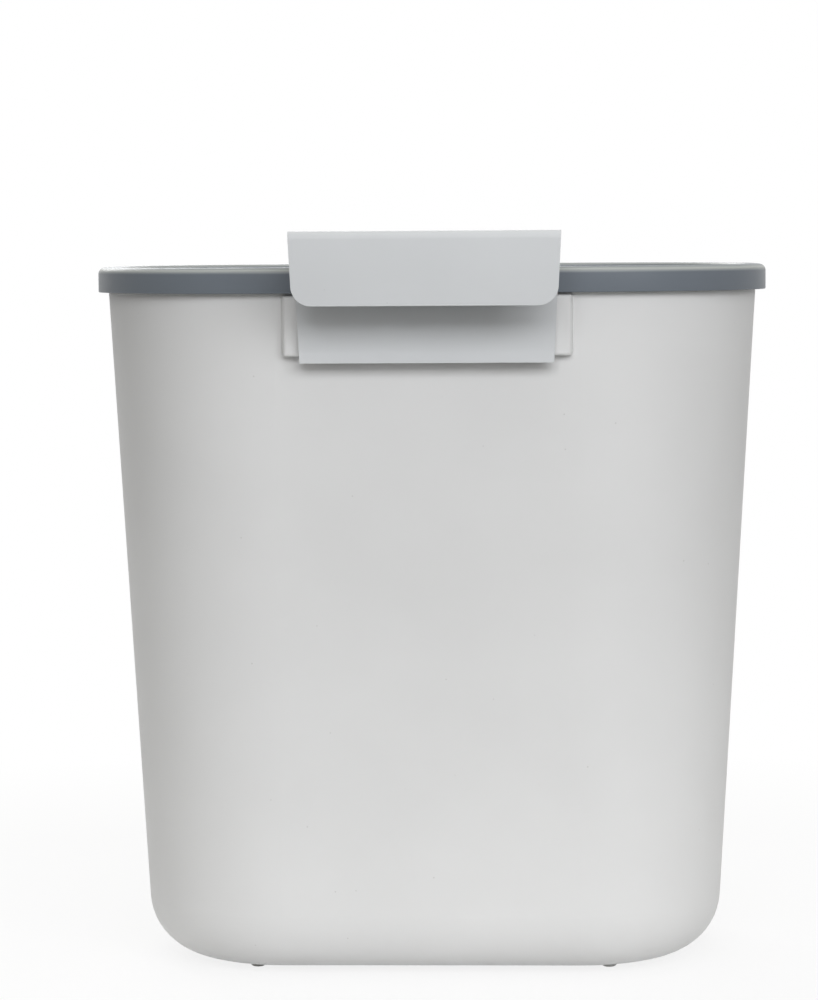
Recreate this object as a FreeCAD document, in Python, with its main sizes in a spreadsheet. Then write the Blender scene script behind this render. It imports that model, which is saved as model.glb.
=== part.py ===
import FreeCAD, Part
import math
import os
import Sketcher

# A small kitchen bin that hangs on a cabinet door: a drafted bucket, a ring that pins the
# bag's edge on its rim, a door hanger that slides up into rails on the back, and four feet.
# Millimetres, +Z up, standing on z = 0, with the hanger on the -Y side.

# Driving sizes: name, value, meaning
driving_sizes = [
    ("rim_width", 243.2, "outer width of the wall at the rim"),
    ("rim_depth", 165.2, "outer depth of the wall at the rim"),
    ("rim_corner", 67.0, "outer plan radius of the wall's corners at the rim"),
    ("bin_height", 257.2, "underside of the base to the top of the rim"),
    ("draft_angle", 3.26, "lean of every wall, in degrees"),
    ("wall", 2.2, "thickness of the wall, measured level"),
    ("floor_thickness", 2.4, "thickness of the floor"),
    ("base_round", 23.0, "outer radius between the wall and the base"),
    ("rim_lip_reach", 1.2, "how far the rim's lip stands out from the wall"),
    ("rim_lip_height", 2.6, "height of the rim's lip"),
    ("ring_clearance", 0.35, "room between the rim's lip and the ring's skirt"),
    ("ring_skirt", 1.85, "thickness of the ring's outer skirt"),
    ("ring_height", 9.3, "height of the ring's outer skirt"),
    ("ring_web", 2.2, "thickness of the ring over the rim"),
    ("ring_edge", 1.7, "bevel on the ring's outer top edge"),
    ("ring_inner_edge", 0.9, "bevel on the ring's inner top edge"),
    ("ring_inner_wall", 1.6, "thickness of the ring's inner skirt"),
    ("ring_inner_drop", 12.0, "how far the inner skirt reaches below the rim"),
    ("bag_clearance", 0.6, "room for the bag between the wall and the inner skirt"),
    ("socket_width", 102.6, "outer width over both rails"),
    ("socket_height", 21.6, "height of the rails and their roof"),
    ("socket_gap", 0.8, "room between the ring's skirt and the roof"),
    ("roof_thickness", 2.0, "thickness of the roof that closes the slot"),
    ("rail_wall", 2.0, "thickness of a rail's side wall"),
    ("rail_lip", 1.3, "thickness of a rail's lip"),
    ("rail_lip_width", 7.8, "outer width of a rail's lip"),
    ("rail_edge", 1.1, "radius of the socket's outer edges"),
    ("slide_clearance", 0.25, "room round the hanger's wings and plate in the rails"),
    ("side_play", 0.8, "sideways room of the hanger in the rails"),
    ("wing_clearance", 0.3, "room between the wings and the bin's wall"),
    ("wing_thickness", 1.5, "thickness of the hanger's wings"),
    ("wing_lead", 1.2, "lead-in on the wings' top corners"),
    ("leg_wall", 2.2, "thickness of the legs that carry the wings"),
    ("hanger_wall", 2.5, "thickness of the hanger's plate, top and lip"),
    ("hanger_top_width", 95.2, "width of the hanger at its top"),
    ("hanger_bottom_width", 90.5, "width of the hanger at the foot of its plate"),
    ("hanger_rise", 12.75, "how far the hanger stands over the ring"),
    ("hanger_tail", 2.4, "how far the plate reaches below the rails"),
    ("hanger_bend", 3.0, "outer radius of the hanger's two bends"),
    ("seat_round", 1.0, "radius of the inner corners over the door"),
    ("lip_drop", 26.1, "height of the hanger's lip"),
    ("lip_corner", 6.7, "radius of the lip's lower corners"),
    ("door_gap", 22.0, "room for the door between the bead and the lip"),
    ("bead_height", 4.0, "height of the flared bead at the foot of the plate"),
    ("bead_reach", 0.4, "how far the bead flares out from the plate"),
    ("bead_edge", 0.5, "radius of the bead's lower edge"),
    ("edge_break", 0.4, "bevel on the hanger's free edges"),
    ("least_flat", 0.1, "least flat left beside a round edge on a thin wall"),
    ("foot_radius", 3.2, "radius of a foot"),
    ("foot_height", 1.9, "height of a foot"),
    ("foot_span", 131.2, "distance between the feet across the width"),
    ("foot_pitch", 81.0, "distance between the feet across the depth"),
]

# Places worked out from the driving sizes. Levels are heights above the ground,
# and reaches are distances from the bin's axis.
worked_out_places = [
    # levels
    ("floor_level", "dims.foot_height + dims.floor_thickness"),
    ("rim_level", "dims.foot_height + dims.bin_height"),
    ("rim_lip_level", "rim_level - dims.rim_lip_height"),
    ("cavity_drop", "rim_level - floor_level"),
    ("ring_top", "rim_level + dims.ring_web"),
    ("ring_bottom", "ring_top - dims.ring_height"),
    ("ring_inner_bottom", "rim_level - dims.ring_inner_drop"),
    ("socket_top", "ring_bottom - dims.socket_gap"),
    ("socket_bottom", "socket_top - dims.socket_height"),
    ("roof_level", "socket_top - dims.roof_thickness"),
    ("wing_top", "roof_level - dims.slide_clearance"),
    ("wing_height", "wing_top - socket_bottom"),
    ("hanger_top", "ring_top + dims.hanger_rise"),
    ("door_seat", "hanger_top - dims.hanger_wall"),
    ("lip_bottom", "hanger_top - dims.lip_drop"),
    ("hanger_bottom", "socket_bottom - dims.hanger_tail"),
    ("bead_top", "hanger_bottom + dims.bead_height"),
    # plan sizes of the bucket and the ring
    ("cavity_width", "dims.rim_width - 2 * dims.wall"),
    ("cavity_depth", "dims.rim_depth - 2 * dims.wall"),
    ("cavity_corner", "dims.rim_corner - dims.wall"),
    ("rim_lip_width", "dims.rim_width + 2 * dims.rim_lip_reach"),
    ("rim_lip_depth", "dims.rim_depth + 2 * dims.rim_lip_reach"),
    ("rim_lip_corner", "dims.rim_corner + dims.rim_lip_reach"),
    ("mid_wall_width", "dims.rim_width - dims.wall"),
    ("mid_wall_depth", "dims.rim_depth - dims.wall"),
    ("mid_wall_corner", "dims.rim_corner - dims.wall / 2"),
    ("ring_overhang", "dims.rim_lip_reach + dims.ring_clearance + dims.ring_skirt"),
    ("ring_width", "dims.rim_width + 2 * ring_overhang"),
    ("ring_depth", "dims.rim_depth + 2 * ring_overhang"),
    ("ring_corner", "dims.rim_corner + ring_overhang"),
    ("base_round_inside", "dims.base_round - dims.wall"),
    # reaches towards the door
    ("wall_slope", "tan(dims.draft_angle)"),
    ("rim_reach", "dims.rim_depth / 2"),
    ("ring_reach", "ring_depth / 2"),
    ("ring_skirt_inside", "ring_reach - dims.ring_skirt"),
    ("ring_web_inside", "rim_reach - dims.wall - dims.bag_clearance"),
    ("ring_mouth", "ring_web_inside - dims.ring_inner_wall"),
    ("ring_skirt_lean", "dims.ring_inner_drop * wall_slope"),
    ("ring_low_outside", "ring_web_inside - ring_skirt_lean"),
    ("ring_low_mouth", "ring_mouth - ring_skirt_lean"),
    ("wall_at_roof", "rim_reach - (rim_level - roof_level) * wall_slope"),
    ("wall_at_socket", "rim_reach - (rim_level - (socket_top + socket_bottom) / 2) * wall_slope"),
    ("socket_root", "wall_at_socket - dims.wall / 2"),
    ("wing_back", "wall_at_roof + dims.wing_clearance"),
    ("wing_front", "wing_back + dims.wing_thickness"),
    ("rail_lip_back", "wing_front + dims.slide_clearance"),
    ("rail_front", "rail_lip_back + dims.rail_lip"),
    ("rail_round", "min(dims.rail_edge; dims.rail_lip - dims.least_flat)"),
    ("plate_back", "max(rail_front; ring_reach) + dims.slide_clearance"),
    ("plate_middle", "plate_back + dims.hanger_wall / 2"),
    ("plate_front", "plate_back + dims.hanger_wall"),
    ("bead_crest", "plate_front + dims.bead_reach"),
    ("lip_inside", "bead_crest + dims.door_gap"),
    ("lip_outside", "lip_inside + dims.hanger_wall"),
    # the bin's axis lies where the whole footprint is centred on the origin
    ("axis_shift", "(lip_outside - ring_reach) / 2"),
    # half widths of the rails and the hanger
    ("hanger_top_half", "dims.hanger_top_width / 2"),
    ("hanger_bottom_half", "dims.hanger_bottom_width / 2"),
    ("hanger_widest", "max(dims.hanger_top_width; dims.hanger_bottom_width)"),
    ("side_clear", "hanger_widest / 2 + dims.hanger_wall"),
    ("side_lean", "(hanger_top_half - hanger_bottom_half) / (hanger_top - hanger_bottom)"),
    ("lip_bottom_half", "hanger_top_half - dims.lip_drop * side_lean"),
    ("rail_outside", "dims.socket_width / 2"),
    ("rail_inside", "rail_outside - dims.rail_wall"),
    ("rail_mouth", "rail_outside - dims.rail_lip_width"),
    ("wing_outside", "rail_inside - dims.side_play"),
    ("leg_outside", "rail_mouth - dims.side_play"),
    ("leg_inside", "min(leg_outside; hanger_bottom_half) - dims.leg_wall"),
    # half spacings of the feet
    ("foot_side", "dims.foot_span / 2"),
    ("foot_ahead", "dims.foot_pitch / 2"),
]

tolerance = 0.01
upwards = FreeCAD.Vector(0, 0, 1)

doc = FreeCAD.newDocument("kitchen_bin")
dims = doc.addObject("Spreadsheet::Sheet", "dims")
places = doc.addObject("Spreadsheet::Sheet", "places")
for row, (alias, size, meaning) in enumerate(driving_sizes, start=1):
    dims.set(f"A{row}", meaning)
    dims.set(f"B{row}", str(size))
    dims.setAlias(f"B{row}", alias)
doc.recompute()
for row, (alias, formula) in enumerate(worked_out_places, start=1):
    places.set(f"A{row}", alias)
    places.set(f"B{row}", "=" + formula)
    places.setAlias(f"B{row}", alias)
doc.recompute()


def value(name):
    """The number behind a name such as dims.wall or -places.rim_reach."""
    sheet_name, alias = name.lstrip("-").split(".")
    number = float(getattr(doc.getObject(sheet_name), alias))
    return -number if name.startswith("-") else number


def new_body(label, side=None, ahead=None):
    """A body on the bin's axis, or off it by a named distance to the side and ahead."""
    body = doc.addObject("PartDesign::Body", label)
    body.Label = label
    if side:
        body.setExpression("Placement.Base.x", side)
    body.setExpression("Placement.Base.y", "places.axis_shift" + (f" + {ahead}" if ahead else ""))
    return body


def new_sketch(body, name, plane, offset=None):
    sketch = body.newObject("Sketcher::SketchObject", name)
    support = [item for item in body.Origin.OriginFeatures if item.Role == plane]
    sketch.AttachmentSupport = (support[0], [""])
    sketch.MapMode = "FlatFace"
    if offset:
        sketch.setExpression("AttachmentOffset.Base.z", offset)
    return sketch


def bind(sketch, kind, elements, name):
    """Add a dimension to a sketch and tie it to a named size."""
    index = sketch.addConstraint(Sketcher.Constraint(kind, *elements, value(name)))
    sketch.setExpression(f"Constraints[{index}]", name)


def polygon(sketch, corners):
    """A closed outline through corners given as pairs of named distances."""
    points = [FreeCAD.Vector(value(across), value(along), 0) for across, along in corners]
    first = sketch.GeometryCount
    count = len(points)
    for index, point in enumerate(points):
        sketch.addGeometry(Part.LineSegment(point, points[(index + 1) % count]))
    for index in range(count):
        following = first + (index + 1) % count
        sketch.addConstraint(Sketcher.Constraint("Coincident", first + index, 2, following, 1))
    for index, (across, along) in enumerate(corners):
        bind(sketch, "DistanceX", (-1, 1, first + index, 1), across)
        bind(sketch, "DistanceY", (-1, 1, first + index, 1), along)


def mirrored(corners):
    """The same corners on the other side of the bin."""
    return [("-" + across, along) for across, along in corners]


def rounded_rectangle(sketch, width, depth, corner):
    """A rectangle with round corners about the bin's axis, in lines and arcs."""
    half_width = value(width) / 2
    half_depth = value(depth) / 2
    radius = value(corner)
    inner_x = half_width - radius
    inner_y = half_depth - radius
    quarter = math.pi / 2
    sides = [
        ((-inner_x, -half_depth), (inner_x, -half_depth), (inner_x, -inner_y)),
        ((half_width, -inner_y), (half_width, inner_y), (inner_x, inner_y)),
        ((inner_x, half_depth), (-inner_x, half_depth), (-inner_x, inner_y)),
        ((-half_width, inner_y), (-half_width, -inner_y), (-inner_x, -inner_y)),
    ]
    first = sketch.GeometryCount
    for index, (start, end, centre) in enumerate(sides):
        circle = Part.Circle(FreeCAD.Vector(*centre), upwards, radius)
        sketch.addGeometry(Part.LineSegment(FreeCAD.Vector(*start), FreeCAD.Vector(*end)))
        sketch.addGeometry(Part.ArcOfCircle(circle, (index - 1) * quarter, index * quarter))
    for index in range(8):
        following = first + (index + 1) % 8
        sketch.addConstraint(Sketcher.Constraint("Tangent", first + index, 2, following, 1))
    back, right, front, left = [first + 2 * index for index in range(4)]
    sketch.addConstraint(Sketcher.Constraint("Symmetric", back, 1, back, 2, -2))
    sketch.addConstraint(Sketcher.Constraint("Symmetric", right, 1, right, 2, -1))
    sketch.addConstraint(Sketcher.Constraint("Horizontal", front))
    sketch.addConstraint(Sketcher.Constraint("Vertical", left))
    for arc in (right + 1, front + 1, left + 1):
        sketch.addConstraint(Sketcher.Constraint("Equal", back + 1, arc))
    bind(sketch, "Radius", (back + 1,), corner)
    bind(sketch, "DistanceX", (left, 1, right, 1), width)
    bind(sketch, "DistanceY", (back, 1, front, 1), depth)


def extrusion(kind, body, name, sketch, length=None, backwards=False, both_ways=False, taper=None):
    """A Pad or a Pocket with its length and taper tied to named sizes."""
    feature = body.newObject(kind, name)
    feature.Profile = sketch
    feature.Reversed = backwards
    if length:
        feature.setExpression("Length", length)
    else:
        feature.Type = "ThroughAll"
    if both_ways:
        feature.SideType = "Symmetric"
    if taper:
        feature.setExpression("TaperAngle", taper)
    doc.recompute()
    return feature


def pad(body, name, sketch, length, **options):
    return extrusion("PartDesign::Pad", body, name, sketch, length, **options)


def pocket(body, name, sketch, length=None, **options):
    return extrusion("PartDesign::Pocket", body, name, sketch, length, **options)


def edges_on(feature, **levels):
    """Names of the edges that lie wholly at the given x, y and z, such as y=-80, z=20."""
    names = []
    for index, edge in enumerate(feature.Shape.Edges, start=1):
        box = edge.BoundBox
        spans = {"x": (box.XMin, box.XMax), "y": (box.YMin, box.YMax), "z": (box.ZMin, box.ZMax)}
        if all(abs(end - level) < tolerance for axis, level in levels.items() for end in spans[axis]):
            names.append(f"Edge{index}")
    return names


def dress(kind, body, name, edges, size_property, size):
    """A Fillet or a Chamfer on named edges of the body's last feature."""
    feature = body.newObject(kind, name)
    feature.Base = (body.Group[-2], edges)
    feature.setExpression(size_property, size)
    doc.recompute()
    return feature


def fillet(body, name, edges, radius):
    return dress("PartDesign::Fillet", body, name, edges, "Radius", radius)


def chamfer(body, name, edges, size):
    return dress("PartDesign::Chamfer", body, name, edges, "Size", size)


# Bin body: drafted bucket with a lip round the rim and the hanger's socket on its back
bin_body = new_body("bin_body")

rim_outline = new_sketch(bin_body, "rim_outline", "XY_Plane", "places.rim_level")
rounded_rectangle(rim_outline, "dims.rim_width", "dims.rim_depth", "dims.rim_corner")
pad(bin_body, "bucket", rim_outline, "dims.bin_height", backwards=True, taper="-dims.draft_angle")

cavity_outline = new_sketch(bin_body, "cavity_outline", "XY_Plane", "places.rim_level")
rounded_rectangle(cavity_outline, "places.cavity_width", "places.cavity_depth", "places.cavity_corner")
cavity = pocket(bin_body, "cavity", cavity_outline, "places.cavity_drop", taper="-dims.draft_angle")
floor_edges = edges_on(cavity, z=value("places.floor_level"))
hollow = fillet(bin_body, "floor_edge", floor_edges, "places.base_round_inside")
base_edges = edges_on(hollow, z=value("dims.foot_height"))
fillet(bin_body, "base_edge", base_edges, "dims.base_round")

rim_lip_outline = new_sketch(bin_body, "rim_lip_outline", "XY_Plane", "places.rim_lip_level")
rounded_rectangle(rim_lip_outline, "places.rim_lip_width", "places.rim_lip_depth", "places.rim_lip_corner")
rounded_rectangle(rim_lip_outline, "places.mid_wall_width", "places.mid_wall_depth", "places.mid_wall_corner")
pad(bin_body, "rim_lip", rim_lip_outline, "dims.rim_lip_height")

rail_corners = [
    ("places.rail_inside", "-places.socket_root"),
    ("places.rail_outside", "-places.socket_root"),
    ("places.rail_outside", "-places.rail_front"),
    ("places.rail_mouth", "-places.rail_front"),
    ("places.rail_mouth", "-places.rail_lip_back"),
    ("places.rail_inside", "-places.rail_lip_back"),
]
rail_outline = new_sketch(bin_body, "rail_outline", "XY_Plane", "places.socket_bottom")
polygon(rail_outline, rail_corners)
polygon(rail_outline, mirrored(rail_corners))
pad(bin_body, "rails", rail_outline, "dims.socket_height")

roof_outline = new_sketch(bin_body, "roof_outline", "XY_Plane", "places.roof_level")
polygon(roof_outline, [
    ("-places.rail_outside", "-places.rail_front"),
    ("places.rail_outside", "-places.rail_front"),
    ("places.rail_outside", "-places.socket_root"),
    ("-places.rail_outside", "-places.socket_root"),
])
roof = pad(bin_body, "roof", roof_outline, "dims.roof_thickness")

socket_front = -value("places.rail_front")
socket_edges = edges_on(roof, y=socket_front, z=value("places.socket_top"))
socket_edges += edges_on(roof, y=socket_front, z=value("places.socket_bottom"))
for side in ("places.rail_outside", "-places.rail_outside"):
    socket_edges += edges_on(roof, x=value(side), y=socket_front)
    socket_edges += edges_on(roof, x=value(side), z=value("places.socket_bottom"))
fillet(bin_body, "socket_edge", socket_edges, "places.rail_round")

# Bag ring: one channel section carried round the rim, open below
bag_ring = new_body("bag_ring")

ring_path = new_sketch(bag_ring, "ring_path", "XY_Plane", "places.ring_bottom")
rounded_rectangle(ring_path, "places.ring_width", "places.ring_depth", "places.ring_corner")
ring_section = new_sketch(bag_ring, "ring_section", "YZ_Plane")
polygon(ring_section, [
    ("-places.ring_reach", "places.ring_bottom"),
    ("-places.ring_reach", "places.ring_top"),
    ("-places.ring_mouth", "places.ring_top"),
    ("-places.ring_low_mouth", "places.ring_inner_bottom"),
    ("-places.ring_low_outside", "places.ring_inner_bottom"),
    ("-places.ring_web_inside", "places.rim_level"),
    ("-places.ring_skirt_inside", "places.rim_level"),
    ("-places.ring_skirt_inside", "places.ring_bottom"),
])
doc.recompute()
channel = bag_ring.newObject("PartDesign::AdditivePipe", "channel")
channel.Profile = ring_section
channel.Spine = (ring_path, [f"Edge{index}" for index in range(1, 9)])
channel.Mode = "Standard"
doc.recompute()
outer_edge = edges_on(channel, y=-value("places.ring_reach"), z=value("places.ring_top"))
bevelled = chamfer(bag_ring, "outer_edge", outer_edge, "dims.ring_edge")
inner_edge = edges_on(bevelled, y=-value("places.ring_mouth"), z=value("places.ring_top"))
chamfer(bag_ring, "inner_edge", inner_edge, "dims.ring_inner_edge")

# Door hanger: inverted J section across the width, with wings on legs behind its plate
door_hanger = new_body("door_hanger")

hook_section = new_sketch(door_hanger, "hook_section", "YZ_Plane")
polygon(hook_section, [
    ("-places.plate_back", "places.hanger_bottom"),
    ("-places.plate_back", "places.hanger_top"),
    ("-places.lip_outside", "places.hanger_top"),
    ("-places.lip_outside", "places.lip_bottom"),
    ("-places.lip_inside", "places.lip_bottom"),
    ("-places.lip_inside", "places.door_seat"),
    ("-places.plate_front", "places.door_seat"),
    ("-places.plate_front", "places.bead_top"),
    ("-places.bead_crest", "places.hanger_bottom"),
])
pad(door_hanger, "hook", hook_section, "places.hanger_widest", both_ways=True)

side_corners = [
    ("places.hanger_top_half", "places.hanger_top"),
    ("places.hanger_bottom_half", "places.hanger_bottom"),
    ("places.side_clear", "places.hanger_bottom"),
    ("places.side_clear", "places.hanger_top"),
]
side_outline = new_sketch(door_hanger, "side_outline", "XZ_Plane")
polygon(side_outline, side_corners)
polygon(side_outline, mirrored(side_corners))
tapered = pocket(door_hanger, "side_taper", side_outline, both_ways=True)

bend_edges = edges_on(tapered, y=-value("places.plate_back"), z=value("places.hanger_top"))
bend_edges += edges_on(tapered, y=-value("places.lip_outside"), z=value("places.hanger_top"))
bent = fillet(door_hanger, "bends", bend_edges, "dims.hanger_bend")
seat_edges = edges_on(bent, y=-value("places.plate_front"), z=value("places.door_seat"))
seat_edges += edges_on(bent, y=-value("places.lip_inside"), z=value("places.door_seat"))
bent = fillet(door_hanger, "seat_corners", seat_edges, "dims.seat_round")

lip_corner_edges = []
for side in ("places.lip_bottom_half", "-places.lip_bottom_half"):
    lip_corner_edges += edges_on(bent, x=value(side), z=value("places.lip_bottom"))
bent = fillet(door_hanger, "lip_corners", lip_corner_edges, "dims.lip_corner")

bead_edge = edges_on(bent, y=-value("places.bead_crest"), z=value("places.hanger_bottom"))
bent = fillet(door_hanger, "bead_edge", bead_edge, "dims.bead_edge")

free_edges = edges_on(bent, y=-value("places.lip_outside"), z=value("places.lip_bottom"))
free_edges += edges_on(bent, y=-value("places.lip_inside"), z=value("places.lip_bottom"))
chamfer(door_hanger, "free_edges", free_edges, "dims.edge_break")

wing_corners = [
    ("places.leg_inside", "-places.plate_middle"),
    ("places.leg_outside", "-places.plate_middle"),
    ("places.leg_outside", "-places.wing_front"),
    ("places.wing_outside", "-places.wing_front"),
    ("places.wing_outside", "-places.wing_back"),
    ("places.leg_inside", "-places.wing_back"),
]
wing_outline = new_sketch(door_hanger, "wing_outline", "XY_Plane", "places.socket_bottom")
polygon(wing_outline, wing_corners)
polygon(wing_outline, mirrored(wing_corners))
wings = pad(door_hanger, "wings", wing_outline, "places.wing_height")
lead_edges = []
for side in ("places.wing_outside", "-places.wing_outside"):
    lead_edges += edges_on(wings, x=value(side), z=value("places.wing_top"))
chamfer(door_hanger, "wing_leads", lead_edges, "dims.wing_lead")

# Feet: four small bumpers that reach from the ground up to the underside of the base
underside = []
for index, face in enumerate(bin_body.Shape.Faces, start=1):
    levels = [(edge.BoundBox.ZMin, edge.BoundBox.ZMax) for edge in face.Edges]
    if any(abs(end - value("dims.foot_height")) < tolerance for end in map(max, levels)):
        underside.append(f"Face{index}")
feet = []
for ahead_name, ahead in (("back", "-places.foot_ahead"), ("front", "places.foot_ahead")):
    for side_name, side in (("left", "-places.foot_side"), ("right", "places.foot_side")):
        label = f"foot_{ahead_name}_{side_name}"
        foot = new_body(label, side, ahead)
        seat = foot.newObject("PartDesign::SubShapeBinder", label + "_seat")
        seat.Support = [(bin_body, tuple(underside))]
        outline = new_sketch(foot, label + "_outline", "XY_Plane")
        outline.addGeometry(Part.Circle(FreeCAD.Vector(), upwards, value("dims.foot_radius")))
        outline.addConstraint(Sketcher.Constraint("Coincident", 0, 3, -1, 1))
        bind(outline, "Radius", (0,), "dims.foot_radius")
        doc.recompute()
        bumper = foot.newObject("PartDesign::Pad", label + "_bumper")
        bumper.Profile = outline
        bumper.Type = "UpToShape"
        bumper.UpToShape = [(seat, "")]
        feet.append(foot)

sub_parts = [bin_body, bag_ring, door_hanger] + feet
doc.recompute()

failed = [item.Name for item in doc.Objects if "Invalid" in item.State or "Error" in item.State]
if failed:
    raise RuntimeError("failed objects: " + ", ".join(failed))
for part in sub_parts:
    if part.Shape.isNull() or not part.Shape.isValid() or len(part.Shape.Solids) != 1:
        raise RuntimeError("bad shape: " + part.Label)

os.makedirs("parts", exist_ok=True)
for part in sub_parts:
    part.Shape.exportStep(f"parts/{part.Label}.step")
    print(part.Label, round(part.Shape.Volume, 1), part.Shape.BoundBox)
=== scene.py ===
import math

import bmesh
import bpy
from mathutils import Matrix, Vector


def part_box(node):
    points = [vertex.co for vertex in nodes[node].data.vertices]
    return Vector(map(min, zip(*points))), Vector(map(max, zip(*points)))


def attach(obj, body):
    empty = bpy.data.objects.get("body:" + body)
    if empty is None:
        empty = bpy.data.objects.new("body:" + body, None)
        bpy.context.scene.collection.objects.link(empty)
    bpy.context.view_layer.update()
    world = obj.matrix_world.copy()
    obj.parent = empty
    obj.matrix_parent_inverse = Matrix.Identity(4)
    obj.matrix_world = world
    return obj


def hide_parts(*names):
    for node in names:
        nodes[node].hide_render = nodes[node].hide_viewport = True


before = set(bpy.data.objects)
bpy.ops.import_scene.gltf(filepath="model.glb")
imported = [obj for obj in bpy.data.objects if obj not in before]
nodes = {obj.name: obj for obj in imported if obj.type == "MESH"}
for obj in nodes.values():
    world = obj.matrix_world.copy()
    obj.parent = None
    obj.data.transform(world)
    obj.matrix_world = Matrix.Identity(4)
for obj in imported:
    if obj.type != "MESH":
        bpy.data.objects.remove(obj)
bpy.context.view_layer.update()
print("frame loaded:", sorted(nodes))

scene = bpy.context.scene
scene.view_settings.view_transform = "Standard"
mm = 0.001
quarterTurn = math.pi / 2
plainBlack = (0.0, 0.0, 0.0, 1.0)
plainWhite = (1.0, 1.0, 1.0, 1.0)
ringLow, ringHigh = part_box("bag_ring")
binAxisY = (ringLow.y + ringHigh.y) / 2 / mm  # the bucket's own axis in the shared frame, in mm


# a screen colour, 0 to 255, as the linear values that shaders take (sRGB's own curve)
def srgb(red, green, blue):
    channels = [c / 255 for c in (red, green, blue)]
    linear = [c / 12.92 if c <= 0.04045 else ((c + 0.055) / 1.055) ** 2.4 for c in channels]
    return (*linear, 1.0)


def addNode(tree, kind, place, **inputs):
    node = tree.nodes.new(kind)
    node.location = place
    for name, value in inputs.items():
        node.inputs[name.replace("_", " ")].default_value = value
    return node


# what all the mouldings share; each piece's own look stands beside its code
plasticBase = {
    "glowRadius": (0.004, 0.004, 0.004), "glowScale": 0.5,
    "driftDetail": 3.0, "driftRough": 0.55, "driftLow": 0.32, "driftHigh": 0.68,
    "dustScatter": 1.0, "dustCore": 0.6,
    "rubDetail": 4.0, "rubRough": 0.6, "rubLow": 0.3, "rubHigh": 0.7,
    "rippleDetail": 1.0, "grainDetail": 2.0, "grainRough": 0.7,
}


# two close tones drifting over the surface, and a few specks of dust
def plasticColour(tree, where, look):
    link = tree.links.new
    drift = addNode(tree, "ShaderNodeTexNoise", (-1080, 320), Scale=look["driftScale"],
                    Detail=plasticBase["driftDetail"], Roughness=plasticBase["driftRough"])
    tones = addNode(tree, "ShaderNodeValToRGB", (-860, 320))
    stops = tones.color_ramp.elements
    stops[0].position, stops[0].color = plasticBase["driftLow"], look["toneLow"]
    stops[1].position, stops[1].color = plasticBase["driftHigh"], look["toneHigh"]
    dust = addNode(tree, "ShaderNodeTexVoronoi", (-1080, 620), Scale=look["dustScale"],
                   Randomness=plasticBase["dustScatter"])
    speck = addNode(tree, "ShaderNodeMapRange", (-860, 620),
                    From_Min=look["dustSize"] * plasticBase["dustCore"], From_Max=look["dustSize"],
                    To_Min=look["dustDepth"], To_Max=0.0)
    sprinkle = addNode(tree, "ShaderNodeMixRGB", (-560, 420), Color2=look["dustColour"])
    link(where.outputs["Object"], drift.inputs["Vector"])
    link(where.outputs["Object"], dust.inputs["Vector"])
    link(drift.outputs["Fac"], tones.inputs["Fac"])
    link(dust.outputs["Distance"], speck.inputs["Value"])
    link(speck.outputs["Result"], sprinkle.inputs["Fac"])
    link(tones.outputs["Color"], sprinkle.inputs["Color1"])
    return sprinkle.outputs["Color"]


# painted highlight: a paler tone on the upward-facing rounded top edge, standing in for light falling from above
def paintedEdgeHighlight(tree, where, colour, look):
    link = tree.links.new
    facing = addNode(tree, "ShaderNodeSeparateXYZ", (-1080, 860))
    band = addNode(tree, "ShaderNodeValToRGB", (-860, 860))
    stops = band.color_ramp.elements
    stops[0].position, stops[0].color = look["highlightFrom"], plainBlack
    stops[1].position, stops[1].color = look["highlightFull"], plainWhite
    fade = stops.new(look["highlightFadeAt"])
    left = look["highlightOnTop"]  # how much of the painted highlight stays on the flat top
    fade.color = (left, left, left, 1.0)
    paler = addNode(tree, "ShaderNodeMixRGB", (-320, 520), Color2=look["highlightTone"])
    link(where.outputs["Normal"], facing.inputs["Vector"])
    link(facing.outputs["Z"], band.inputs["Fac"])
    link(band.outputs["Color"], paler.inputs["Fac"])
    link(colour, paler.inputs["Color1"])
    return paler.outputs["Color"]


# gloss that varies a little with handling
def plasticGloss(tree, where, look):
    rub = addNode(tree, "ShaderNodeTexNoise", (-1080, 20), Scale=look["rubScale"],
                  Detail=plasticBase["rubDetail"], Roughness=plasticBase["rubRough"])
    gloss = addNode(tree, "ShaderNodeMapRange", (-560, 60),
                    From_Min=plasticBase["rubLow"], From_Max=plasticBase["rubHigh"],
                    To_Min=look["roughLow"], To_Max=look["roughHigh"])
    tree.links.new(where.outputs["Object"], rub.inputs["Vector"])
    tree.links.new(rub.outputs["Fac"], gloss.inputs["Value"])
    return gloss.outputs["Result"]


# a fine matt grain over a slow ripple from cooling
def plasticRelief(tree, where, look):
    link = tree.links.new
    ripple = addNode(tree, "ShaderNodeTexNoise", (-1080, -260), Scale=look["rippleScale"],
                     Detail=plasticBase["rippleDetail"])
    grain = addNode(tree, "ShaderNodeTexNoise", (-1080, -520), Scale=look["grainScale"],
                    Detail=plasticBase["grainDetail"], Roughness=plasticBase["grainRough"])
    slow = addNode(tree, "ShaderNodeBump", (-560, -260),
                   Strength=look["rippleStrength"], Distance=look["rippleDepth"])
    fine = addNode(tree, "ShaderNodeBump", (-320, -380),
                   Strength=look["grainStrength"], Distance=look["grainDepth"])
    link(where.outputs["Object"], ripple.inputs["Vector"])
    link(where.outputs["Object"], grain.inputs["Vector"])
    link(ripple.outputs["Fac"], slow.inputs["Height"])
    link(grain.outputs["Fac"], fine.inputs["Height"])
    link(slow.outputs["Normal"], fine.inputs["Normal"])
    return fine.outputs["Normal"]


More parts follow.
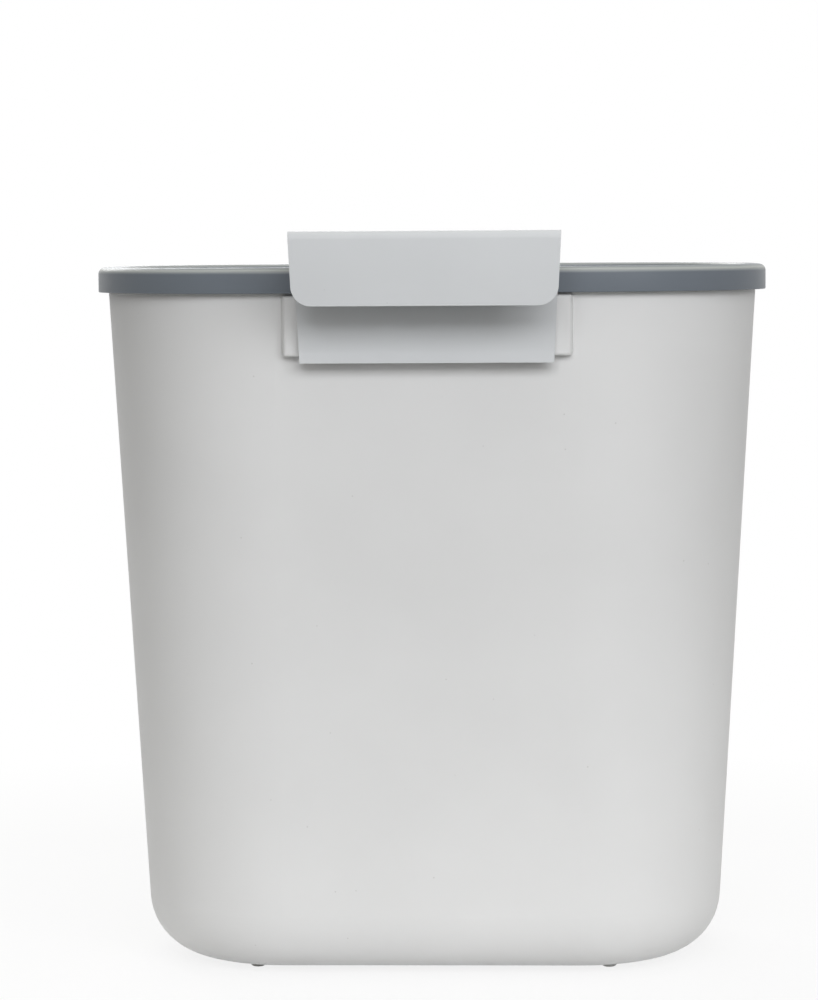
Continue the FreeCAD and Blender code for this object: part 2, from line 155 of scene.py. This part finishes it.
def mouldedPlastic(name, look):
    material = bpy.data.materials.new(name)
    material.use_nodes = True
    tree = material.node_tree
    shader = tree.nodes["Principled BSDF"]
    shader.inputs["IOR"].default_value = look["ior"]
    shader.inputs["Specular IOR Level"].default_value = look["specular"]
    shader.inputs["Subsurface Weight"].default_value = look["glow"]
    shader.inputs["Subsurface Radius"].default_value = plasticBase["glowRadius"]
    shader.inputs["Subsurface Scale"].default_value = plasticBase["glowScale"]
    where = addNode(tree, "ShaderNodeTexCoord", (-1300, 0))
    colour = plasticColour(tree, where, look)
    # a painted highlight on the rounded top edge, for looks that ask for one
    if "highlightTone" in look:
        colour = paintedEdgeHighlight(tree, where, colour, look)
    tree.links.new(colour, shader.inputs["Base Color"])
    tree.links.new(plasticGloss(tree, where, look), shader.inputs["Roughness"])
    tree.links.new(plasticRelief(tree, where, look), shader.inputs["Normal"])
    return material


def meshPiece(name, bm, material, sharpAngle=40):
    bmesh.ops.recalc_face_normals(bm, faces=bm.faces)
    mesh = bpy.data.meshes.new(name)
    bm.to_mesh(mesh)
    bm.free()
    mesh.materials.append(material)
    mesh.shade_smooth()
    mesh.set_sharp_from_angle(angle=math.radians(sharpAngle))
    piece = bpy.data.objects.new(name, mesh)
    scene.collection.objects.link(piece)
    return piece


# faces from each row of points to the next, with the first and last row closed
def skinRows(bm, rows, capped=True):
    for low, high in zip(rows, rows[1:]):
        for k in range(len(low)):
            n = (k + 1) % len(low)
            bm.faces.new((low[k], low[n], high[n], high[k]))
    if capped:
        bm.faces.new(rows[0])
        bm.faces.new(rows[-1])


# a point in mm: to the side, out from the bucket's axis towards the back, and up
def backPoint(bm, side, reach, height):
    return bm.verts.new((side * mm, (binAxisY - reach) * mm, height * mm))


def arcPoints(centre, radius, start, end, steps):
    angles = [math.radians(start + (end - start) * step / steps) for step in range(steps + 1)]
    return [(centre[0] + radius * math.cos(a), centre[1] + radius * math.sin(a)) for a in angles]


# bin body: the CAD bucket in off-white polypropylene with a matt grain
binLook = {
    "toneLow": srgb(215, 215, 214), "toneHigh": srgb(221, 221, 220), "driftScale": 9.0,
    "roughLow": 0.46, "roughHigh": 0.56, "rubScale": 26.0,
    "rippleScale": 14.0, "rippleStrength": 0.05, "rippleDepth": 0.004,
    "grainScale": 2600.0, "grainStrength": 0.16, "grainDepth": 0.00006,
    "dustScale": 95.0, "dustSize": 0.035, "dustDepth": 0.28, "dustColour": srgb(146, 144, 138),
    "ior": 1.49, "specular": 0.5, "glow": 0.04,
}
binPlastic = mouldedPlastic("binPlastic", binLook)
nodes["bin_body"].data.materials.clear()
nodes["bin_body"].data.materials.append(binPlastic)
print("bin body dressed")


# soft outer flanks of the two rails, running out onto the bucket's wall (mm)
flankShape = {
    "faceEnd": 50.2, "spread": 1.9, "front": 85.395, "bottom": 229.6, "top": 251.2,
    "wallBottom": 80.92, "wallTop": 82.15, "sink": 0.3,
    "edge": 1.1, "edgeSteps": 4, "turnSteps": 10,
}


def makeRailFlank(name, sign, shape, material):
    bottom, top, edge = shape["bottom"], shape["top"], shape["edge"]
    ends = []  # distance from the end, and how far the section draws in there
    for step in range(shape["edgeSteps"] + 1):
        angle = quarterTurn * step / shape["edgeSteps"]
        ends.append((edge * (1 - math.cos(angle)), edge * (1 - math.sin(angle))))
    levels = [(bottom + rise, ease) for rise, ease in ends]
    levels += [(top - rise, ease) for rise, ease in reversed(ends)]
    bm = bmesh.new()
    rows = []
    for height, ease in levels:
        share = (height - bottom) / (top - bottom)
        wall = shape["wallBottom"] + (shape["wallTop"] - shape["wallBottom"]) * share - shape["sink"]
        section = [(shape["faceEnd"], wall)]
        for step in range(shape["turnSteps"] + 1):
            angle = quarterTurn * step / shape["turnSteps"]
            section.append((shape["faceEnd"] + (shape["spread"] - ease) * math.sin(angle),
                            wall + (shape["front"] - ease - wall) * math.cos(angle)))
        rows.append([backPoint(bm, sign * side, reach, height) for side, reach in section])
    skinRows(bm, rows)
    return meshPiece(name, bm, material)


for flankName, sign in (("rail_flank_left", -1), ("rail_flank_right", 1)):
    flank = makeRailFlank(flankName, sign, flankShape, binPlastic)
    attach(flank, "bin")
print("rail flanks blended")


# bag ring: one section swept round the rim, with a soft outer top edge (mm)
ringLook = {
    "toneLow": srgb(106, 112, 119), "toneHigh": srgb(111, 118, 125), "driftScale": 11.0,
    "roughLow": 0.34, "roughHigh": 0.42, "rubScale": 30.0,
    "rippleScale": 16.0, "rippleStrength": 0.05, "rippleDepth": 0.003,
    "grainScale": 2400.0, "grainStrength": 0.14, "grainDepth": 0.00006,
    "dustScale": 110.0, "dustSize": 0.03, "dustDepth": 0.22, "dustColour": srgb(176, 177, 176),
    # painted highlight on the rounded top edge: a pale tone between these upward-facing levels
    "highlightTone": srgb(178, 181, 177), "highlightFrom": 0.08, "highlightFull": 0.6,
    "highlightFadeAt": 0.97, "highlightOnTop": 0.18,
    "ior": 1.5, "specular": 0.2, "glow": 0.0,
}
ringShape = {
    "halfWidth": 125.0, "halfDepth": 86.0, "corner": 70.4, "cornerSteps": 40,
    "top": 261.3, "bottom": 252.0, "rimTop": 259.1, "innerBottom": 247.1,
    "skirt": 1.85, "webInside": 6.2, "innerWall": 1.6, "lean": 0.6835,
    "outerRound": 2.5, "innerRound": 1.1, "roundSteps": 10, "edge": 0.3, "edgeSteps": 3,
}


def roundedOutline(halfWidth, halfDepth, corner, steps):
    outline = []  # point and outward direction, once round
    centres = [(1, 1), (-1, 1), (-1, -1), (1, -1)]
    for quarter, (signX, signY) in enumerate(centres):
        centre = Vector((signX * (halfWidth - corner), signY * (halfDepth - corner)))
        for step in range(steps + 1):
            angle = (quarter + step / steps) * quarterTurn
            outward = Vector((math.cos(angle), math.sin(angle)))
            outline.append((centre + outward * corner, outward))
    return outline


def makeBagRing(shape, material):
    top, bottom, edge, edgeSteps = (shape[key] for key in ("top", "bottom", "edge", "edgeSteps"))
    outerR, innerR, steps = shape["outerRound"], shape["innerRound"], shape["roundSteps"]
    web, skirt, rim, foot = (shape[key] for key in ("webInside", "skirt", "rimTop", "innerBottom"))
    mouth = web + shape["innerWall"]
    lowMouth, lowWeb = mouth + shape["lean"], web + shape["lean"]
    # section as distance in from the outer face, and height
    section = arcPoints((edge, bottom + edge), edge, 270, 180, edgeSteps)
    section += arcPoints((outerR, top - outerR), outerR, 180, 90, steps)
    section += arcPoints((mouth - innerR, top - innerR), innerR, 90, 0, steps)
    section += arcPoints((lowMouth - edge, foot + edge), edge, 0, -90, edgeSteps)
    section += [(lowWeb, foot), (web, rim), (skirt, rim), (skirt, bottom)]
    outline = roundedOutline(shape["halfWidth"], shape["halfDepth"], shape["corner"], shape["cornerSteps"])
    bm = bmesh.new()
    rows = []
    for point, outward in outline:
        row = []
        for inset, height in section:
            at = point - outward * inset
            row.append(bm.verts.new((at.x * mm, (at.y + binAxisY) * mm, height * mm)))
        rows.append(row)
    skinRows(bm, rows + rows[:1], capped=False)
    return meshPiece("bag_ring_moulding", bm, material)


ringPlastic = mouldedPlastic("ringPlastic", ringLook)
ringPiece = makeBagRing(ringShape, ringPlastic)
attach(ringPiece, "ring")
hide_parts("bag_ring")
print("bag ring swept:", len(ringPiece.data.polygons), "faces")


# door hanger: a bent strip with eased edges, a bead along its foot and a winged leg at each side (mm)
hangerLook = {
    "toneLow": srgb(200, 202, 203), "toneHigh": srgb(205, 207, 208), "driftScale": 12.0,
    "roughLow": 0.50, "roughHigh": 0.60, "rubScale": 34.0,
    "rippleScale": 20.0, "rippleStrength": 0.04, "rippleDepth": 0.003,
    "grainScale": 2600.0, "grainStrength": 0.14, "grainDepth": 0.00006,
    "dustScale": 120.0, "dustSize": 0.03, "dustDepth": 0.25, "dustColour": srgb(140, 140, 138),
    "ior": 1.49, "specular": 0.5, "glow": 0.03,
}
hangerShape = {
    "topHalf": 47.6, "bottomHalf": 45.25, "top": 274.05, "bottom": 227.2,
    "lipOutside": 113.65, "plateBack": 86.25, "wall": 2.5, "bend": 3.0, "seatRound": 1.0, "bendSteps": 8,
    "lipBottom": 247.95, "lipCorner": 6.7, "cornerSteps": 12,
    "beadTop": 231.2, "beadReach": 0.4, "beadEase": 0.5,
    "wingBottom": 229.6, "wingTop": 248.95, "wingLead": 1.2,
    "legInside": 40.5, "legOutside": 42.7, "wingOutside": 48.5, "wingBack": 82.336, "wingFront": 83.836,
    "easedEdge": 0.6, "easedSteps": 3, "easedAngle": 50, "smoothAngle": 180,
}


def hangerStrip(shape):
    # pairs of (reach, height) on the outer and inner faces, from the lip's foot over to the plate's foot
    wall, top, bend, seat = shape["wall"], shape["top"], shape["bend"], shape["seatRound"]
    outside, inside = shape["lipOutside"], shape["lipOutside"] - wall
    back, front = shape["plateBack"], shape["plateBack"] + wall
    pairs = []
    for step in range(shape["cornerSteps"] + 1):
        angle = quarterTurn * step / shape["cornerSteps"]
        height = shape["lipBottom"] + shape["lipCorner"] * (1 - math.cos(angle))
        pairs.append(((outside, height), (inside, height)))
    for outerAt, innerAt, start in ((outside - bend, inside - seat, 0), (back + bend, front + seat, 90)):
        outerArc = arcPoints((outerAt, top - bend), bend, start, start + 90, shape["bendSteps"])
        innerArc = arcPoints((innerAt, top - wall - seat), seat, start, start + 90, shape["bendSteps"])
        pairs += list(zip(outerArc, innerArc))
    bottom, beadTop, ease = shape["bottom"], shape["beadTop"], shape["beadEase"]
    flare = shape["beadReach"] * ease / (beadTop - bottom)
    bead = ((beadTop + ease, 0.0), (beadTop, 0.0), (beadTop - ease, flare), (bottom, shape["beadReach"]))
    for height, proud in bead:
        pairs.append(((back, height), (front + proud, height)))
    return pairs


# a leg behind the plate with its wing, the wing's top corner cut away as a lead-in
def addLeg(bm, sign, shape):
    bottom, top, lead = shape["wingBottom"], shape["wingTop"], shape["wingLead"]
    inside, outside = shape["legInside"], shape["legOutside"]
    front, back = shape["wingFront"], shape["wingBack"]
    root = shape["plateBack"] + shape["wall"] / 2
    rows = []
    for height, cut in ((bottom, 0.0), (top - lead, 0.0), (top, lead)):
        tip = shape["wingOutside"] - cut
        corners = [(inside, root), (outside, root), (outside, front), (tip, front), (tip, back), (inside, back)]
        rows.append([backPoint(bm, sign * side, reach, height) for side, reach in corners])
    skinRows(bm, rows)


# other is taken up into piece, as one closed shell
def joinSolids(piece, other):
    union = piece.modifiers.new("joined", "BOOLEAN")
    union.operation = "UNION"
    union.solver = "EXACT"
    union.object = other
    settled = piece.evaluated_get(bpy.context.evaluated_depsgraph_get())
    joined = bpy.data.meshes.new_from_object(settled)
    piece.modifiers.clear()
    piece.data = joined
    bpy.data.objects.remove(other)
    joined.shade_smooth()


def makeDoorHanger(shape, material):
    lean = (shape["topHalf"] - shape["bottomHalf"]) / (shape["top"] - shape["bottom"])
    strip = bmesh.new()
    sections = []
    for index, pair in enumerate(hangerStrip(shape)):
        trim = 0.0
        if index <= shape["cornerSteps"]:  # round lower corners of the lip
            angle = quarterTurn * index / shape["cornerSteps"]
            trim = shape["lipCorner"] * (1 - math.sin(angle))
        corners = []
        for sign in (-1, 1):
            for reach, height in pair:
                half = shape["topHalf"] - (shape["top"] - height) * lean - trim
                corners.append(backPoint(strip, sign * half, reach, height))
        leftOuter, leftInner, rightOuter, rightInner = corners
        sections.append((leftOuter, rightOuter, rightInner, leftInner))
    skinRows(strip, sections)
    piece = meshPiece("door_hanger_moulding", strip, material, shape["smoothAngle"])
    legs = bmesh.new()
    for sign in (-1, 1):
        addLeg(legs, sign, shape)
    joinSolids(piece, meshPiece("hanger_legs", legs, material, shape["smoothAngle"]))
    eased = piece.modifiers.new("easedEdges", "BEVEL")
    eased.width = shape["easedEdge"] * mm
    eased.segments = shape["easedSteps"]
    eased.limit_method = "ANGLE"
    eased.angle_limit = math.radians(shape["easedAngle"])
    eased.harden_normals = True
    eased.use_clamp_overlap = True
    return piece


hangerPlastic = mouldedPlastic("hangerPlastic", hangerLook)
hangerPiece = makeDoorHanger(hangerShape, hangerPlastic)
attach(hangerPiece, "hanger")
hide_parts("door_hanger")
print("door hanger bent")


# feet: soft domed bumpers (mm)
footLook = {
    "toneLow": srgb(210, 210, 207), "toneHigh": srgb(216, 216, 213), "driftScale": 60.0,
    "roughLow": 0.55, "roughHigh": 0.68, "rubScale": 120.0,
    "rippleScale": 80.0, "rippleStrength": 0.05, "rippleDepth": 0.001,
    "grainScale": 2200.0, "grainStrength": 0.2, "grainDepth": 0.00006,
    "dustScale": 300.0, "dustSize": 0.04, "dustDepth": 0.3, "dustColour": srgb(150, 148, 144),
    "ior": 1.47, "specular": 0.4, "glow": 0.05,
}
footShape = {
    "radius": 3.2, "height": 1.9, "flat": 1.3, "innerFlat": 0.65,
    "domeShare": 0.95, "domeSteps": 8, "turns": 40,
}


def makeFoot(name, centre, shape, material):
    # lathe profile from the flat underneath, round the dome, up to the base
    flat, reach = shape["flat"], shape["radius"] - shape["flat"]
    domeHeight = shape["domeShare"] * shape["height"]
    profile = [(shape["innerFlat"], 0.0)]
    for step in range(shape["domeSteps"] + 1):
        angle = quarterTurn * step / shape["domeSteps"]
        profile.append((flat + reach * math.sin(angle), domeHeight * (1 - math.cos(angle))))
    profile.append((shape["radius"], shape["height"]))
    bm = bmesh.new()
    rings = []
    for radius, height in profile:
        ring = []
        for turn in range(shape["turns"]):
            angle = 2 * math.pi * turn / shape["turns"]
            x, y = centre.x + radius * mm * math.cos(angle), centre.y + radius * mm * math.sin(angle)
            ring.append(bm.verts.new((x, y, height * mm)))
        rings.append(ring)
    skinRows(bm, rings)
    return meshPiece(name, bm, material)


footPlastic = mouldedPlastic("footPlastic", footLook)
for footNode in ("foot_back_left", "foot_back_right", "foot_front_left", "foot_front_right"):
    low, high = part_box(footNode)
    foot = makeFoot(footNode + "_dome", (low + high) / 2, footShape, footPlastic)
    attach(foot, "bin")
    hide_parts(footNode)
print("feet domed")


# camera at the photograph's viewing angle (mm and degrees)
cameraShape = {
    "side": 32.78, "away": 1299.59, "height": 270.7, "turn": 1.861, "pitch": 4.353, "roll": -0.346,
    "lens": 122.82, "sensor": 36.0, "clipStart": 50.0,
}


def makeCamera(shape):
    turn, pitch, roll = (math.radians(shape[key]) for key in ("turn", "pitch", "roll"))
    level = math.cos(pitch)
    ahead = Vector((-math.sin(turn) * level, math.cos(turn) * level, -math.sin(pitch)))
    right = Vector((math.cos(turn), math.sin(turn), 0.0))
    up = right.cross(ahead)
    rolledRight = right * math.cos(roll) + up * math.sin(roll)
    rolledUp = up * math.cos(roll) - right * math.sin(roll)
    data = bpy.data.cameras.new("photoCamera")
    data.lens = shape["lens"]
    data.sensor_width = shape["sensor"]
    data.clip_start = shape["clipStart"] * mm
    camera = bpy.data.objects.new("photoCamera", data)
    scene.collection.objects.link(camera)
    place = Vector((shape["side"], binAxisY - shape["away"], shape["height"])) * mm
    facing = Matrix((rolledRight, rolledUp, -ahead)).transposed().to_4x4()
    camera.matrix_world = Matrix.Translation(place) @ facing
    scene.camera = camera


makeCamera(cameraShape)
print("camera placed")


# studio: a white sheet under a dim even sky, with soft boxes in front, to the right, above and behind (m)
studio = {
    "skyStrength": 0.31, "skyColour": (1.0, 0.98, 0.928, 1.0), "whiteStrength": 1.0,
    "floorSize": 8.0, "sheetColour": (0.94, 0.94, 0.94, 1.0),
    "nearBounce": (0.92, 0.92, 0.92, 1.0), "farBounce": (0.03, 0.03, 0.03, 1.0),
    "glow": 0.84, "sheetReach": 0.3, "whiteReach": 0.52,
    "lampAway": 1.9, "aimHeight": 0.14,
    "lamps": {
        "frontBox": {"turn": 5.0, "rise": 25.5, "size": (1.4, 0.6), "power": 16.0,
                     "colour": (0.965, 0.975, 1.0)},
        "rightBox": {"turn": 35.0, "rise": 18.0, "size": (0.5, 0.9), "power": 6.9,
                     "colour": (0.95, 0.965, 1.0)},
        "overheadBank": {"turn": 0.0, "rise": 82.0, "size": (1.2, 1.0), "power": 8.0,
                         "colour": (1.0, 1.0, 1.0)},
        "backBox": {"turn": 200.0, "rise": 30.0, "size": (1.4, 0.8), "power": 15.0,
                    "colour": (1.0, 1.0, 1.0)},
    },
}


# 1 where the ray comes straight from the eye, or by way of a mirror or glass
def seenRays(tree):
    path = addNode(tree, "ShaderNodeLightPath", (-900, 300))
    total = path.outputs["Is Camera Ray"]
    for step, kind in enumerate(("Is Glossy Ray", "Is Transmission Ray")):
        either = addNode(tree, "ShaderNodeMath", (-700 + 180 * step, 300))
        either.operation = "MAXIMUM"
        tree.links.new(total, either.inputs[0])
        tree.links.new(path.outputs[kind], either.inputs[1])
        total = either.outputs["Value"]
    return total


# the sky lights the object dimly, and shows as plain white
def makeSky(look):
    world = bpy.data.worlds.new("studioSky")
    scene.world = world
    world.use_nodes = True
    tree = world.node_tree
    tree.nodes.clear()
    seen = seenRays(tree)
    fill = addNode(tree, "ShaderNodeBackground", (-320, 0),
                   Color=look["skyColour"], Strength=look["skyStrength"])
    white = addNode(tree, "ShaderNodeBackground", (-320, -160),
                    Color=plainWhite, Strength=look["whiteStrength"])
    mix = addNode(tree, "ShaderNodeMixShader", (-100, 60))
    out = addNode(tree, "ShaderNodeOutputWorld", (100, 60))
    tree.links.new(seen, mix.inputs["Fac"])
    tree.links.new(fill.outputs["Background"], mix.inputs[1])
    tree.links.new(white.outputs["Background"], mix.inputs[2])
    tree.links.new(mix.outputs["Shader"], out.inputs["Surface"])


# a sheet that keeps the object's shadow close by, runs out to plain white, and bounces light only near the object
def sheetMaterial(look):
    sheet = bpy.data.materials.new("whiteSheet")
    sheet.use_nodes = True
    tree = sheet.node_tree
    tree.nodes.clear()
    link = tree.links.new
    seen = seenRays(tree)
    where = addNode(tree, "ShaderNodeTexCoord", (-1100, -40))
    away = addNode(tree, "ShaderNodeVectorMath", (-900, -40))
    away.operation = "LENGTH"
    reach = addNode(tree, "ShaderNodeMapRange", (-700, -40),
                    From_Min=look["sheetReach"], From_Max=look["whiteReach"])
    bounce = addNode(tree, "ShaderNodeMixRGB", (-500, -40),
                     Color1=look["nearBounce"], Color2=look["farBounce"])
    shine = addNode(tree, "ShaderNodeMapRange", (-500, -300), From_Min=look["sheetReach"],
                    From_Max=look["whiteReach"], To_Min=look["glow"], To_Max=1.0)
    board = addNode(tree, "ShaderNodeBsdfDiffuse", (-300, -40))
    paper = addNode(tree, "ShaderNodeBsdfDiffuse", (-300, -180), Color=look["sheetColour"])
    white = addNode(tree, "ShaderNodeEmission", (-300, -320),
                    Color=plainWhite, Strength=look["whiteStrength"])
    lit = addNode(tree, "ShaderNodeMixShader", (-100, -200))
    mix = addNode(tree, "ShaderNodeMixShader", (80, 60))
    out = addNode(tree, "ShaderNodeOutputMaterial", (260, 60))
    link(where.outputs["Object"], away.inputs[0])
    link(away.outputs["Value"], reach.inputs["Value"])
    link(away.outputs["Value"], shine.inputs["Value"])
    link(reach.outputs["Result"], bounce.inputs["Fac"])
    link(bounce.outputs["Color"], board.inputs["Color"])
    link(shine.outputs["Result"], lit.inputs["Fac"])
    link(paper.outputs["BSDF"], lit.inputs[1])
    link(white.outputs["Emission"], lit.inputs[2])
    link(seen, mix.inputs["Fac"])
    link(board.outputs["BSDF"], mix.inputs[1])
    link(lit.outputs["Shader"], mix.inputs[2])
    link(mix.outputs["Shader"], out.inputs["Surface"])
    return sheet


def makeFloor(look):
    bm = bmesh.new()
    bmesh.ops.create_grid(bm, x_segments=1, y_segments=1, size=look["floorSize"] / 2)
    meshPiece("studio_floor", bm, sheetMaterial(look))


# lamps stand round the object, turn measured from the camera's side and rise from the floor
def makeLamps(look):
    aim = Vector((0.0, binAxisY * mm, look["aimHeight"]))
    for name, lamp in look["lamps"].items():
        light = bpy.data.lights.new(name, "AREA")
        light.shape = "RECTANGLE"
        light.size, light.size_y = lamp["size"]
        light.energy = lamp["power"]
        light.color = lamp["colour"]
        turn, rise = math.radians(lamp["turn"]), math.radians(lamp["rise"])
        level = math.cos(rise)
        towards = Vector((math.sin(turn) * level, -math.cos(turn) * level, math.sin(rise)))
        holder = bpy.data.objects.new(name, light)
        holder.location = aim + towards * look["lampAway"]
        holder.rotation_euler = (-towards).to_track_quat("-Z", "Y").to_euler()
        scene.collection.objects.link(holder)


makeSky(studio)
makeFloor(studio)
makeLamps(studio)
print("studio lit")
